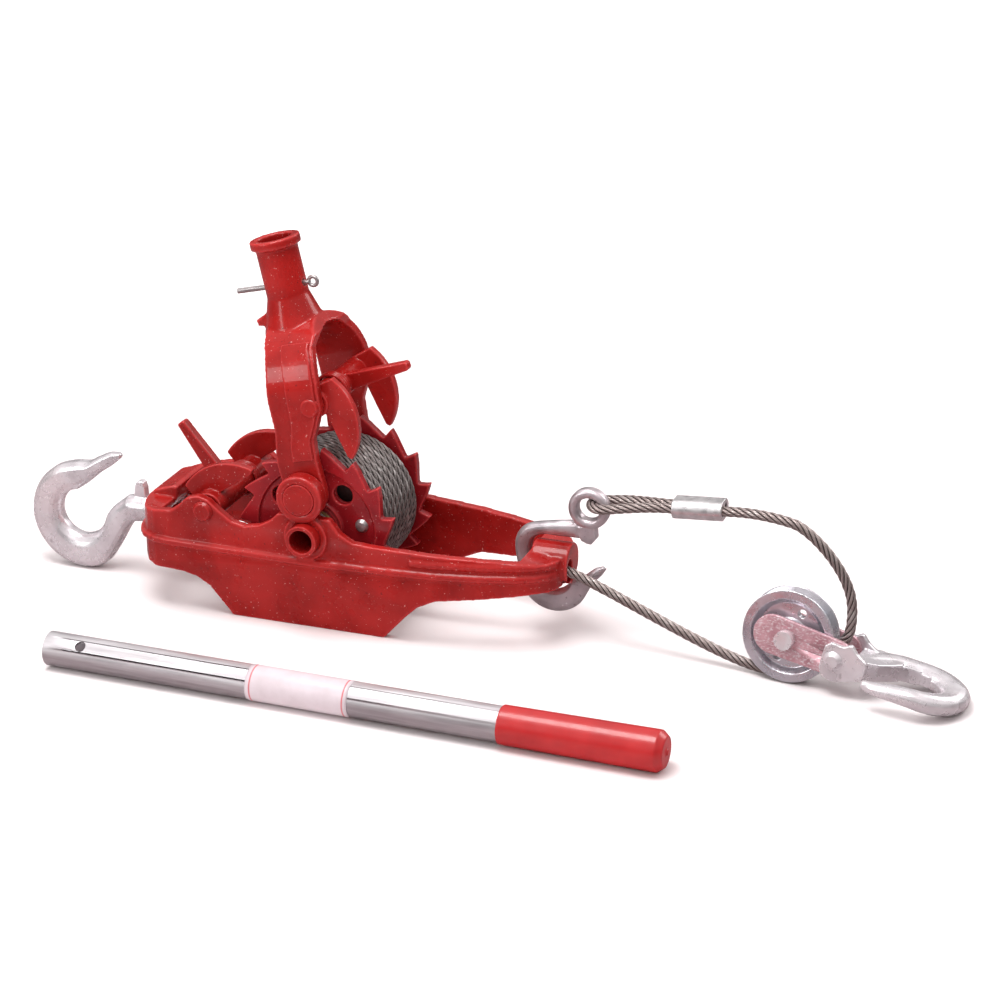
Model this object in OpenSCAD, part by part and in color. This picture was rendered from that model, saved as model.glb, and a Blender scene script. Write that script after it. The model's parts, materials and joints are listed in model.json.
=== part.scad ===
// Come-along winch: a cast frame with a ratchet drum, a ratchet lever, a swivel hook,
// a wire rope doubled through a snatch block, and a loose handle that plugs into the lever.
// X runs from the rear hook to the nose, Y across the frame, Z up. The origin lies on the
// resting plane straight below the drum axle. Millimetres.

/* [Frame] */
// Height of the drum axle above the resting plane
axle_z = 81; // [76:1:90]
// Thickness of the cast side walls
wall_t = 7.5; // [6:0.5:9]
// Height of the raised bead along the side walls
bead_z = 60; // [56:1:64]
// How far the bead stands out of the wall
bead_out = 2.6; // [1.5:0.1:4]
// X of the holding pawl's pin
hold_x = -88; // [-92:1:-86]
// Z of the holding pawl's pin
hold_z = 90; // [88:1:92]
// Z of the rear hook's swivel
swivel_z = 58; // [56:1:60]

/* [Axle and drum] */
// Outside radius of the hollow drum axle
axle_r = 12.7; // [12:0.1:13]
// Bore radius of the hollow drum axle
axle_bore_r = 9.5; // [8:0.1:10]
// Length of the hollow drum axle
axle_len = 148; // [140:1:150]
// Number of ratchet teeth
teeth = 15; // [15]
// Radius over the ratchet teeth
tip_r = 66; // [64:0.5:66]
// Radius at the root of the ratchet teeth
root_r = 56; // [55:0.5:58]
// Angle of one ratchet tooth at rest
tooth_phase = 61.3; // [58:0.1:62]
// Distance from the middle plane to the middle of a ratchet wheel
wheel_y = 39; // [39]
// Thickness of a ratchet wheel
wheel_t = 7; // [5:0.5:7]
// Radius of the wire rope
rope_r = 4; // [4]
// Rope turns side by side on the drum
rope_turns = 8; // [4:1:8]
// Radius of the drum core
core_r = 24; // [20:1:28]

/* [Lever] */
// X of the lever's fulcrum
fulcrum_x = -4; // [-5:1:-3]
// Z of the lever's fulcrum
fulcrum_z = 112.5; // [112:0.5:115]
// Backward lean of the lever at rest
lean = 13.1; // [10:0.1:15]
// Outside half width of the lever arch
arch_r = 53; // [52:0.5:53]
// Thickness of the lever arms
arm_t = 8; // [6:0.5:8]
// Bore radius of the handle socket
socket_bore_r = 13.7; // [13.5:0.1:14]
// Outside radius of the handle socket
socket_r = 16.5; // [16:0.1:18]
// Distance from the fulcrum to the socket's mouth
socket_top = 192; // [180:1:200]

/* [Pawls] */
// Length of the drive pawl from its pin to its tip
drive_len = 53.2; // [53.2]
// Length of the holding pawl from its pin to its tip
hold_len = 48.2; // [48.2]
// Thickness of a pawl plate
pawl_t = 6.5; // [5:0.5:6.5]
// Radius of a pawl pin
pawl_pin_r = 6.5; // [6:0.1:7]
// Direction of the drive pawl at rest, held just clear of the teeth
drive_dir = -54.8; // [-54.8]
// Direction of the holding pawl at rest, held just clear of the teeth
hold_dir = 43.5; // [43.5]

/* [Hooks and block] */
// Inside radius of the rear hook's bowl
rear_bowl_r = 20; // [18:0.5:21]
// Thickness of the rear hook
rear_hook_t = 21; // [18:0.5:22]
// X of the sheave's centre
sheave_x = 373.7; // [370:0.1:376]
// Y of the sheave's centre
sheave_y = -14.5; // [-16:0.1:-13]
// Outside radius of the sheave
sheave_r = 36; // [36]
// Width of the sheave
sheave_w = 16; // [14:0.5:16]
// Height of the sheave's centre
sheave_z = 36.3; // [36:0.1:37]
// Turn of the block about the vertical, away from the frame's own axis
block_yaw = -5; // [-6:0.5:-4]
// Lean of the block, its top away from the handle's side
block_lean = 6; // [4:0.5:8]
// Distance from the sheave's pin to the hook's rivet, along the block
rivet_du = 38.8; // [38.8]
// How far the rivet lies below the sheave's pin
rivet_dw = 9; // [9]
// Radius of the hook's rivet
rivet_r = 3.5; // [3.5]
// Downward slope of the block's hook
hook_pitch = 12; // [10:0.5:12]
// Inside radius of the block hook's bowl
throat_r = 17; // [16:0.5:18]
// Thickness of the block's hook
block_hook_t = 15; // [14:0.5:16]

/* [Handle] */
// Outside radius of the handle tube
tube_r = 13.35; // [13:0.05:13.4]
// Wall of the handle tube
tube_wall = 2.4; // [2:0.1:3]
// Length of the handle over its grip
handle_len = 492; // [460:1:520]
// Length of the grip
grip_len = 124; // [110:1:150]
// Distance of the handle's open end in front of the frame
handle_y = -181; // [-220:1:-160]

/* [Hidden] */
$fn = 64;

red = [0.68, 0.07, 0.09];
zinc = [0.78, 0.78, 0.82];
steel = [0.42, 0.38, 0.37];
run = 0.05;                          // radial clearance of a running fit
fit = 0.03;                          // radial clearance of a pin held still
hub_r = 19;                          // drum hub that carries both ratchet wheels
bush_r = 15.5;                       // outside of the plain bushes in the hub
wheel_in = wheel_y - wheel_t / 2;    // inner face of a ratchet wheel
wheel_out = wheel_y + wheel_t / 2;   // outer face of a ratchet wheel
pitch = 360 / teeth;
pin_u = 22.1;                        // drive pawl pin in the lever's own axes
pin_w = 68.3;
arm_in = arch_r - arm_t;
arch_w = 75;                         // centre of the lever's arch above the fulcrum
rope_y = -6;                         // the rope runs beside the anchor hook
hook_y = 6;
eye_x = 207.5;                       // centre of the anchor hook's eye
eye_z = 107.5;
eye_r = 9;
big = 400;

// ---------- shared shapes ----------

// Extrudes an X-Z outline symmetrically across Y.
module across(width) {
    rotate([90, 0, 0])
        linear_extrude(width, center = true)
            children();
}

// A cylinder along Y, centred on the middle plane.
module rod_y(r, length) {
    rotate([90, 0, 0])
        cylinder(r = r, h = length, center = true);
}

// A cylinder along X from x0 to x1.
module rod_x(r, x0, x1) {
    translate([x0, 0, 0])
        rotate([0, 90, 0])
            cylinder(r = r, h = x1 - x0);
}

// The near part and its mirror image on the far side.
module both_sides() {
    children();
    mirror([0, 1, 0])
        children();
}

function unit(v) = v / norm(v);
function bezier(a, b, c, d, t) =
    pow(1 - t, 3) * a + 3 * pow(1 - t, 2) * t * b + 3 * (1 - t) * t * t * c + t * t * t * d;
function curve(a, b, c, d, steps) = [for (i = [1:steps]) bezier(a, b, c, d, i / steps)];

// Lays a round bar of radius r along a list of points, keeping its section square to the path.
module bar(path, r, sides = 12) {
    last = len(path) - 1;
    along = [for (i = [0:last]) unit(path[min(i + 1, last)] - path[max(i - 1, 0)])];
    first = unit(cross(along[0], [0.02, 1, 0.01]));
    out = [
        for (i = 0, n = first; i <= last;
             i = i + 1, n = i <= last ? unit(n - (n * along[i]) * along[i]) : n) n
    ];
    rings = [
        for (i = [0:last]) for (k = [0:sides - 1])
            path[i] + r * (cos(360 * k / sides) * out[i]
                           + sin(360 * k / sides) * cross(along[i], out[i]))
    ];
    walls = [
        for (i = [0:last - 1]) for (k = [0:sides - 1])
            let (a = i * sides + k, b = i * sides + (k + 1) % sides)
                each [[a, b, a + sides], [b, b + sides, a + sides]]
    ];
    caps = [
        for (k = [1:sides - 2])
            each [[0, k + 1, k], [last * sides, last * sides + k, last * sides + k + 1]]
    ];
    polyhedron(rings, [for (f = concat(walls, caps)) [f[0], f[2], f[1]]]);
}

// ---------- frame ----------

// Half width of the frame's outside along its length: [x, half width].
rear_x = -153.5;
plan = [
    [rear_x, 20], [-152.5, 29], [-150.5, 37], [-147, 45], [-141.5, 52.5], [-133, 58], [-120, 60.3],
    [-57, 61.5], [-20, 62], [20, 61.5], [60, 59.5], [104, 55.5], [138, 48.5], [165, 40],
    [178, 33.5], [186, 27], [190, 20], [191.5, 13]
];
nose_front = 196;
side_outline = [
    [-154, 62], [-151.5, 50], [-149, 43], [-144, 37.5], [-134, 35.8], [-110, 35], [-97, 31.5],
    [-87, 24.5], [-70, 0], [59, 0], [79, 22.5], [89, 32], [103, 38.5], [140, 42.5], [176, 46.5],
    [200, 47.5], [200, 67], [176, 72], [140, 74.5], [76, 77.5], [53, 78.5], [37, 80], [27, 86],
    [19, 97], [-24, 97], [-31, 90], [-41, 84.5], [-53, 82.3], [-64, 84.5], [-76, 93], [-84, 99.5],
    [-93, 102], [-102, 99.5], [-110, 92], [-117, 86.8], [-130, 84.5], [-140, 83], [-154, 82]
];
lean_z = 56;                          // the walls lean inward below this height
keel_y = 51.5;                        // outside half width at the keel
nose_x = 164;                         // rear face of the nose block

module plan_solid(inset, x0, x1) {
    points = [for (p = plan) if (p[0] > x0 && p[0] < x1) p];
    ends = concat([[x0, lookup(x0, plan)]], points, [[x1, lookup(x1, plan)]]);
    linear_extrude(big, center = true)
        polygon(concat(
            [for (p = ends) [p[0], p[1] - inset]],
            [for (i = [len(ends) - 1:-1:0]) [ends[i][0], inset - ends[i][1]]]
        ));
}

module lean_solid(inset) {
    w = 64 - inset;
    k = keel_y - inset;
    rotate([90, 0, 90])
        linear_extrude(2 * big, center = true)
            polygon([[w, 160], [w, lean_z + 6], [k, -1], [-k, -1], [-w, lean_z + 6], [-w, 160]]);
}

module tub(inset, x0, x1) {
    intersection() {
        plan_solid(inset, x0, x1);
        lean_solid(inset);
    }
}

// A raised band round the outside of the walls, standing further out round the rear end.
module bead(z, height, x0, out, rear_out) {
    intersection() {
        difference() {
            union() {
                plan_solid(-out, x0, 191.5);
                if (rear_out > 0)
                    translate([-rear_out, 0, 0])
                        plan_solid(-1, rear_x, -110);
            }
            plan_solid(wall_t / 2, max(x0, -146), 185);
        }
        translate([0, 0, z])
            cube([2 * big, 2 * big, height], center = true);
    }
}

module frame() {
    color(red)
    difference() {
        union() {
            difference() {
                intersection() {
                    across(2 * big)
                        polygon(side_outline);
                    tub(0, rear_x, 191.5);
                }
                tub(wall_t, -143, nose_x);
            }
            // ears round the lever's fulcrum and raised bosses round the drum axle
            both_sides()
                translate([fulcrum_x, -67, fulcrum_z])
                    rotate([-90, 0, 0])
                        cylinder(r = 19, h = 67 - 54.5);
            both_sides()
                translate([0, -65, axle_z])
                    rotate([-90, 0, 0])
                        cylinder(r = 18, h = 65 - 54.5);
            // rear top plate, its raised bridge and the swivel boss under it
            intersection() {
                tub(0.5, rear_x + 0.5, -130);
                translate([-141, 0, 79])
                    cube([30, 2 * big, 7], center = true);
            }
            across(52)
                polygon([[-147, 80], [-149, 86], [-147, 87.5], [-131, 92.5], [-127.5, 92], [-128, 80]]);
            translate([0, 0, swivel_z])
                rod_x(17, rear_x, -136);
            // barrel over the rope slot in the nose
            translate([0, 0, 62.3])
                rod_x(16.2, nose_x + 2, nose_front);
            bead(bead_z, 5, rear_x, bead_out, 4);
            bead(69, 4, 84, bead_out * 0.7, 0);
        }
        // bores
        translate([0, 0, axle_z])
            rod_y(axle_r + fit, big);
        translate([fulcrum_x, 0, fulcrum_z])
            rod_y(axle_r + fit, big);
        translate([hold_x, 0, hold_z])
            rod_y(pawl_pin_r + fit, big);
        translate([0, 0, swivel_z]) {
            rod_x(9.5 + run, rear_x - 1, -130);
            rod_x(11.4, rear_x - 8, rear_x);
        }
        // rope slot through the nose, open at the front
        translate([0, rope_y, 61.5])
            rod_x(5.8, nose_x - 5, 200);
        translate([nose_x + 16, rope_y, 55.8])
            cube([34, 11.6, 11.4], center = true);
        translate([192, rope_y, 56])
            cube([14, 11.6, 16], center = true);
    }
}

// ---------- axle, drum and rope winding ----------

module drum_axle() {
    color(red)
    translate([0, 0, axle_z])
        difference() {
            rod_y(axle_r, axle_len);
            rod_y(axle_bore_r, axle_len + 2);
        }
}

module axle_spacers() {
    color(zinc)
    both_sides()
        translate([0, -54, axle_z])
            rotate([-90, 0, 0])
                difference() {
                    cylinder(r = 14, h = 54 - wheel_out - 0.3);
                    translate([0, 0, -1])
                        cylinder(r = axle_r + run, h = 20);
                }
}

module ratchet_outline() {
    polygon([
        for (k = [0:teeth - 1])
            let (tip = tooth_phase + k * pitch)
                each [
                    [root_r * cos(tip - pitch + 1.6), root_r * sin(tip - pitch + 1.6)],
                    [(tip_r - 3) * cos(tip - 5.5), (tip_r - 3) * sin(tip - 5.5)],
                    [tip_r * cos(tip), tip_r * sin(tip)]
                ]
    ]);
}

// One ratchet wheel, its outer face turned to -Y.
module ratchet_wheel() {
    difference() {
        rotate([90, 0, 0])
            linear_extrude(wheel_t, center = true)
                ratchet_outline();
        rod_y(hub_r + fit, 20);
        for (a = [53:90:360])
            rotate([0, -a, 0])
                translate([37, 0, 0])
                    rod_y(8, 20);
        for (a = [9:90:360])
            rotate([0, -a, 0])
                translate([38, 0, 0])
                    rod_y(4.05, 20);
        // shallow dish between the hub and the rim
        translate([0, -wheel_t / 2, 0])
            difference() {
                rod_y(49, 4);
                rod_y(22, 10);
            }
    }
}

module ratchet_wheel_near() {
    color(red)
    translate([0, -wheel_y, axle_z])
        ratchet_wheel();
}

module ratchet_wheel_far() {
    color(red)
    translate([0, wheel_y, axle_z])
        mirror([0, 1, 0])
            ratchet_wheel();
}

flange_t = 3;
module drum_core() {
    color(red)
    translate([0, 0, axle_z])
        difference() {
            union() {
                rod_y(core_r, 2 * wheel_in - 0.2);
                rod_y(hub_r, 2 * wheel_out);
                both_sides()
                    translate([0, 0.1 - wheel_in, 0])
                        rotate([-90, 0, 0])
                            cylinder(r = 46.5, h = flange_t - 0.1);
            }
            rod_y(bush_r, big);
            for (a = [53:90:360])
                rotate([0, -a, 0])
                    translate([37, 0, 0])
                        rod_y(8, big);
            for (a = [9:90:360])
                rotate([0, -a, 0])
                    translate([38, 0, 0])
                        rod_y(4.05, big);
            rotate([0, 30, 0])
                cylinder(r = 3 + fit, h = core_r + 2);
        }
}

module drum_bushes() {
    color([0.72, 0.55, 0.3])
    translate([0, 0, axle_z])
        both_sides()
            translate([0, -wheel_out, 0])
                rotate([-90, 0, 0])
                    difference() {
                        cylinder(r = bush_r - fit, h = 24);
                        translate([0, 0, -1])
                            cylinder(r = axle_r + run, h = 26);
                    }
}

module wheel_rivets() {
    color(steel)
    translate([0, 0, axle_z])
        both_sides()
            for (a = [9:90:360])
                rotate([0, -a, 0])
                    translate([38, 0, 0])
                        rotate([90, 0, 0]) {
                            translate([0, 0, wheel_in - flange_t])
                                cylinder(r = 4, h = wheel_t + flange_t - 2);
                            translate([0, 0, wheel_out - 2])
                                cylinder(r1 = 5.6, r2 = 3.6, h = 2.4);
                        }
}

module rope_winding() {
    color(steel)
    translate([0, 0, axle_z])
        rotate([90, 0, 0])
            rotate_extrude() {
                translate([core_r + 0.05, -rope_turns * rope_r])
                    square([3.5 * 2 * rope_r, 2 * rope_turns * rope_r]);
                for (i = [0:rope_turns - 1])
                    translate([core_r + 7 * rope_r, (2 * i + 1 - rope_turns) * rope_r])
                        circle(r = rope_r - 0.01, $fn = 32);
            }
}

module rope_clamp_screw() {
    color(steel)
    translate([0, 0, axle_z])
        rotate([0, 30, 0])
            translate([0, 0, bush_r])
                cylinder(r = 3, h = core_r - bush_r - 0.4);
}

// ---------- pawls ----------

// One crescent pawl plate in the X-Z plane: pin at the origin, tip at (length, 0), back towards +Z.
module crescent(length) {
    rotate([90, 0, 0])
        translate([0, 0, -pawl_t / 2])
            difference() {
                union() {
                    cylinder(r = 11, h = pawl_t);
                    intersection() {
                        translate([length - 45.2, -22, 0])
                            cylinder(r = 48.5, h = pawl_t);
                        linear_extrude(pawl_t)
                            polygon([
                                [-11, 0], [9, 3], [length * 0.6, -0.4], [length - 5, -2.6],
                                [length, 0], [length, 40], [-9, 40]
                            ]);
                    }
                }
                translate([0, 0, -1])
                    cylinder(r = pawl_pin_r + run, h = pawl_t + 2);
            }
}

// The double pawl casting: two crescents on a hub sleeve with one finger lever.
module pawl_casting(length, direction, finger_dir, finger_y, finger_len, hub_half) {
    difference() {
        union() {
            rod_y(11, 2 * hub_half);
            both_sides()
                translate([0, -wheel_y, 0])
                    rotate([0, -direction, 0])
                        crescent(length);
            rotate([0, -finger_dir, 0])
                translate([0, finger_y, 0])
                    across(8.5)
                        polygon([
                            [0, -9], [14, -6.5], [finger_len, -3.4], [finger_len + 1, -2],
                            [finger_len + 1, 2], [finger_len, 3.4], [14, 6.5], [0, 9]
                        ]);
        }
        rod_y(pawl_pin_r + run, big);
    }
}

module coil(r, wire, turns, y0) {
    for (i = [0:turns - 1])
        translate([0, y0 + i * 2 * wire * 1.04, 0])
            rotate([90, 0, 0])
                rotate_extrude()
                    translate([r, 0])
                        circle(r = wire, $fn = 32);
}

module holding_pawl() {
    color(red)
    translate([hold_x, 0, hold_z])
        pawl_casting(hold_len, hold_dir, 127, -11, 65, 51.5);
}

module holding_pawl_spring() {
    color(red)
    translate([hold_x, 0, hold_z]) {
        coil(12.9, 1.4, 3, 12);
        translate([-12.9, 12, 0])
            cylinder(r = 1.2, h = 14);
    }
}

module drive_pawl() {
    color(red)
    lever_axes()
        translate([pin_u, 0, pin_w])
            difference() {
                rotate([0, lean, 0])
                    pawl_casting(drive_len, drive_dir, 21, 6, 61, arm_in - 0.6);
                translate([0, -23, 0])
                    rod_x(3.2 + fit, 6.9, 30);
            }
}

module drive_pawl_spring() {
    color(red)
    lever_axes()
        translate([pin_u, 0, pin_w]) {
            coil(12.9, 1.4, 3, -12);
            translate([-12.9, -12, 0])
                cylinder(r = 1.2, h = 14);
        }
}

module drive_pawl_set_screw() {
    color(steel)
    lever_axes()
        translate([pin_u, -23, pin_w])
            rotate([0, 90, 0])
                translate([0, 0, 7])
                    cylinder(r = 3.2, h = 5);
}

module pawl_pin(half) {
    rod_y(pawl_pin_r, 2 * half);
    both_sides()
        translate([0, -half - 3, 0])
            rotate([-90, 0, 0])
                cylinder(r1 = 6.5, r2 = 8.6, h = 3);
}

module holding_pawl_pin() {
    color(red)
    translate([hold_x, 0, hold_z])
        pawl_pin(61.4);
}

module drive_pawl_pin() {
    color(red)
    lever_axes()
        translate([pin_u, 0, pin_w])
            pawl_pin(arch_r + 0.1);
}

// ---------- lever ----------

// The lever's own axes: origin at the fulcrum, Z up the socket, X forward.
module lever_axes() {
    translate([fulcrum_x, 0, fulcrum_z])
        rotate([0, -lean, 0])
            children();
}

lever_side = [
    [-17, 0], [-17.5, 28], [-12.5, 52], [-12.5, 78], [-11, 97], [-12, 110], [-16, 124],
    [-16, 140], [16, 140], [22, 128], [29, 118], [28, 110], [30, 101], [31.5, 87], [30.5, 66],
    [24, 53], [18, 42], [16.5, 25], [17, 0]
];

module arch_section(r) {
    rotate([90, 0, 90])
        linear_extrude(big, center = true) {
            translate([0, arch_w])
                circle(r = r, $fn = 96);
            translate([-r, -40])
                square([2 * r, 40 + arch_w]);
        }
}

module lever() {
    color(red)
    lever_axes()
        difference() {
            union() {
                difference() {
                    intersection() {
                        union() {
                            across(big)
                                polygon(lever_side);
                            rod_y(17, big);
                        }
                        arch_section(arch_r);
                    }
                    arch_section(arm_in);
                }
                // socket, flared where it meets the arch
                difference() {
                    union() {
                        translate([0, 0, 110])
                            cylinder(r = socket_r, h = socket_top - 110);
                        translate([0, 0, 112])
                            cylinder(r1 = 27, r2 = socket_r, h = 34);
                        translate([0, 0, socket_top - 7])
                            cylinder(r = 19.8, h = 7);
                        // rear stop lug
                        across(12)
                            polygon([[-14, 122], [-29, 125], [-30, 130], [-26, 131], [-14, 138]]);
                    }
                    arch_section(arm_in);
                }
            }
            translate([0, 0, 130])
                cylinder(r = socket_bore_r, h = 100);
            rod_y(axle_r + run, big);
            translate([pin_u, 0, pin_w])
                rod_y(pawl_pin_r + run, big);
            translate([0, 0, 153.5])
                rod_x(2.6, -40, 40);
        }
}

module lever_pivot_pins() {
    color(red)
    both_sides()
        translate([fulcrum_x, -67.3, fulcrum_z])
            rotate([-90, 0, 0])
                cylinder(r = axle_r, h = 67.3 - arm_in);
}

// A split pin: two legs and a ring head in front of the socket.
module lever_cotter_pin() {
    color(steel)
    lever_axes()
        translate([0, 0, 153.5]) {
            difference() {
                rod_x(2.1, -42, 21);
                translate([-50, -5, -0.25])
                    cube([60, 10, 0.5]);
            }
            translate([23.5, 0, 0])
                rotate([90, 0, 0])
                    rotate_extrude()
                        translate([3.6, 0])
                            circle(r = 1.5, $fn = 48);
        }
}

// ---------- rear swivel hook ----------

bowl_x = -226;
bowl_z = 48.5;
module rear_hook() {
    color(zinc) {
        difference() {
            across(rear_hook_t)
                difference() {
                    union() {
                        translate([bowl_x + 1, 46])
                            circle(r = 46, $fn = 96);
                        // point of the hook
                        polygon([[-230, 91.8], [-212, 97], [-197, 104], [-190, 103], [-187.5, 98],
                                 [-193, 93], [-208, 84], [-226, 66]]);
                        // shank
                        polygon([[-170, 69], [-180, 68.5], [-188, 64.5], [-200, 54], [-213, 30], [-204, 9],
                                 [-196.5, 19], [-189, 31], [-182, 42.5], [-177, 47], [-170, 47.5]]);
                    }
                    polygon([[-210, 84.5], [-193, 93], [-180, 100], [-160, 90], [-171, 70.5], [-180, 69],
                             [-188, 65], [-200, 54.5], [-209, 45], [-226, 48], [-226, 68]]);
                }
            translate([bowl_x, 0, bowl_z])
                rod_y(rear_bowl_r, 60);
        }
        // neck, latch lug and swivel shank
        translate([0, 0, swivel_z]) {
            rod_x(11, -184, -166);
            rod_x(10.4, -170, rear_x - 0.3);
            difference() {
                rod_x(9.5, -154, -112);
                translate([-121, 0, 0])
                    cylinder(r = 2 + fit, h = 60, center = true);
            }
        }
        across(8)
            polygon([[-178, 66], [-176, 81], [-171, 82], [-167, 66]]);
    }
}

module rear_hook_washer() {
    color(zinc)
    translate([0, 0, swivel_z])
        difference() {
            rod_x(16, -135.9, -132.9);
            rod_x(9.6, -140, -120);
        }
}

module rear_hook_nut() {
    color(zinc)
    translate([0, 0, swivel_z])
        difference() {
            translate([-132.8, 0, 0])
                rotate([0, 90, 0])
                    cylinder(r = 16, h = 14, $fn = 6);
            rod_x(9.52, -140, -110);
            translate([-121, 0, 0])
                cylinder(r = 2.1, h = 60, center = true);
        }
}

module rear_hook_cotter() {
    color(steel)
    translate([-121, 0, swivel_z])
        union() {
            cylinder(r = 2, h = 38, center = true);
            translate([0, 0, 19])
                sphere(r = 3.2);
        }
}

// ---------- anchor hook on the nose ----------

module anchor_hook() {
    color([0.6, 0.57, 0.58])
    translate([0, hook_y, 0])
        difference() {
            union() {
                across(11.5)
                    difference() {
                        union() {
                            // bowl under the nose, drawn out forward to a point
                            translate([180, 46])
                                circle(r = 28.2, $fn = 96);
                            polygon([[196, 22.5], [205, 34], [211.5, 46], [221, 55.5], [222.3, 58.5],
                                     [220, 60.5], [212, 58.5], [200.5, 48], [180, 46]]);
                            // upright and bar over the nose
                            polygon([[152, 46], [148, 62], [147.5, 72], [149.5, 79.5], [153.5, 85],
                                     [160, 89], [171, 92], [193, 95], [199, 88], [199, 81.5], [172, 81.8],
                                     [165, 79], [160.8, 71], [161, 52]]);
                            polygon([[196, 92], [203, 81.3], [207, 79], [210.5, 78.8], [214, 83], [214, 94]]);
                        }
                        translate([178, 53])
                            circle(r = 17.6, $fn = 64);
                        offset(delta = 0.4)
                            polygon([[161, 53], [160.8, 71], [165, 79], [172, 81.8], [212, 81.3],
                                     [212, 58.5], [200.5, 48], [189, 39.8], [178, 53]]);
                    }
                // eye with rounded lips
                translate([eye_x, 0, eye_z])
                    rotate([90, 0, 0])
                        rotate_extrude() {
                            for (side = [-1, 1])
                                translate([eye_r + 4, side * 1.9])
                                    circle(r = 4, $fn = 48);
                            translate([eye_r, -1.9])
                                square([8, 3.8]);
                        }
            }
            translate([eye_x, 0, eye_z])
                rod_y(eye_r, 30);
        }
}

// ---------- rope, block and hook ----------

module block_axes() {
    translate([sheave_x, sheave_y, sheave_z])
        rotate([0, 0, block_yaw])
            rotate([-block_lean, 0, 0])
                children();
}

wrap_r = 31;                          // rope centre on the sheave
wrap_in = -103;
wrap_out = -17;
block_x = [cos(block_yaw), sin(block_yaw), 0];
block_z = [-sin(block_yaw) * sin(block_lean), cos(block_yaw) * sin(block_lean), cos(block_lean)];
function on_block(u, w) = [sheave_x, sheave_y, sheave_z] + u * block_x + w * block_z;
function on_sheave(a) = on_block(wrap_r * cos(a), wrap_r * sin(a));
function along_sheave(a) = cos(a) * block_z - sin(a) * block_x;

lay_r = core_r + 8 * rope_r + rope_r + 0.4;
feed = 12.5;                          // upward slope of the rope from the drum to the nose
lay_start = [lay_r * sin(feed), rope_y, axle_z - lay_r * cos(feed)];
nose_in = lay_start + (167 - lay_start[0]) * [1, 0, tan(feed)];
nose_out = [190, rope_y - 0.2, 59.4];
bulge = on_block(45.6, 28.6);
crest = [371, -10, 123.4];
ferrule_in = [315, -2.2, 122.4];
ferrule_out = [276.5, -2.2, 119.6];
ferrule_gap = [0, 8.3, 0];            // from the working rope to the returned tail
bend_r = 10.6;
bend = [eye_x + 1.6 + bend_r, hook_y, eye_z + 4.1];
tail_out = ferrule_out + ferrule_gap;
rope_path = concat(
    [lay_start],
    curve(nose_in, nose_in + 12 * [1, 0, tan(feed)], nose_out - [8, 0, -1.2], nose_out, 6),
    curve(nose_out, [240, -8.5, 45], [340, -13, -5], on_sheave(wrap_in), 14),
    [for (a = [wrap_in + 7:7:wrap_out - 1]) on_sheave(a)],
    curve(on_sheave(wrap_out), on_sheave(wrap_out) + 15.5 * along_sheave(wrap_out),
          on_block(48.9, -8.2), bulge, 10),
    curve(bulge, on_block(43.1, 56.3), crest + [13.1, -1.7, -2], crest, 10),
    curve(crest, crest + [-19, 2.5, 2.8], ferrule_in + [18, -2, 3.2], ferrule_in, 6),
    [ferrule_out],
    curve(ferrule_out, ferrule_out + [-20, 0, -1], bend + [20, -bend_r, 4], bend + [0, -bend_r, 0], 7),
    [for (a = [-105:-15:-255]) bend + bend_r * [cos(a), sin(a), 0]],
    [bend + [0, bend_r, 0]],
    curve(bend + [0, bend_r, 0], bend + [20, bend_r, 4], tail_out + [-20, 0, -1], tail_out, 7),
    [ferrule_in + ferrule_gap + [-1, 0, 0]]
);

module rope_line() {
    color(steel)
    bar(rope_path, rope_r);
}

module ferrule() {
    along = ferrule_in - ferrule_out;
    color([0.9, 0.88, 0.9])
    translate((ferrule_in + tail_out) / 2)
        rotate([0, -atan2(along[2], along[0]), 0])
            rotate([0, 90, 0])
                difference() {
                    union() {
                        for (side = [-1, 1])
                            translate([0, side * ferrule_gap[1] / 2, 0])
                                cylinder(r = 7.4, h = 39, center = true);
                        cube([14.8, ferrule_gap[1], 39], center = true);
                    }
                    for (side = [-1, 1])
                        translate([0, side * ferrule_gap[1] / 2, 0])
                            cylinder(r = rope_r + 0.12, h = 60, center = true);
                }
}

module sheave() {
    half = sheave_w / 2;
    color(zinc)
    block_axes()
        difference() {
            rotate([90, 0, 0])
                rotate_extrude($fn = 96)
                    difference() {
                        translate([9.05, -half])
                            square([sheave_r - 9.05, sheave_w]);
                        translate([wrap_r, 0])
                            circle(r = rope_r + 0.15, $fn = 32);
                        polygon([[wrap_r, -rope_r - 0.15], [sheave_r + 2, -half + 0.5],
                                 [sheave_r + 2, half - 0.5], [wrap_r, rope_r + 0.15]]);
                        for (s = [-1, 1])
                            polygon([[13, s * half], [13.5, s * 3.2], [25.5, s * 3.2], [29.5, s * half],
                                     [29.5, s * (half + 2)], [13, s * (half + 2)]]);
                    }
            for (a = [65:90:400])
                rotate([0, -a, 0])
                    translate([20, 0, 0])
                        rod_y(3.2, 30);
        }
}

module sheave_bush() {
    color([0.72, 0.55, 0.3])
    block_axes()
        difference() {
            rod_y(9, sheave_w);
            rod_y(6.06, 30);
        }
}

module sheave_pin() {
    color(zinc)
    block_axes() {
        rod_y(6, 2 * 12.2);
        both_sides()
            translate([0, -20, 0])
                rotate([-90, 0, 0])
                    cylinder(r = 7.2, h = 7.8);
    }
}

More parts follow.
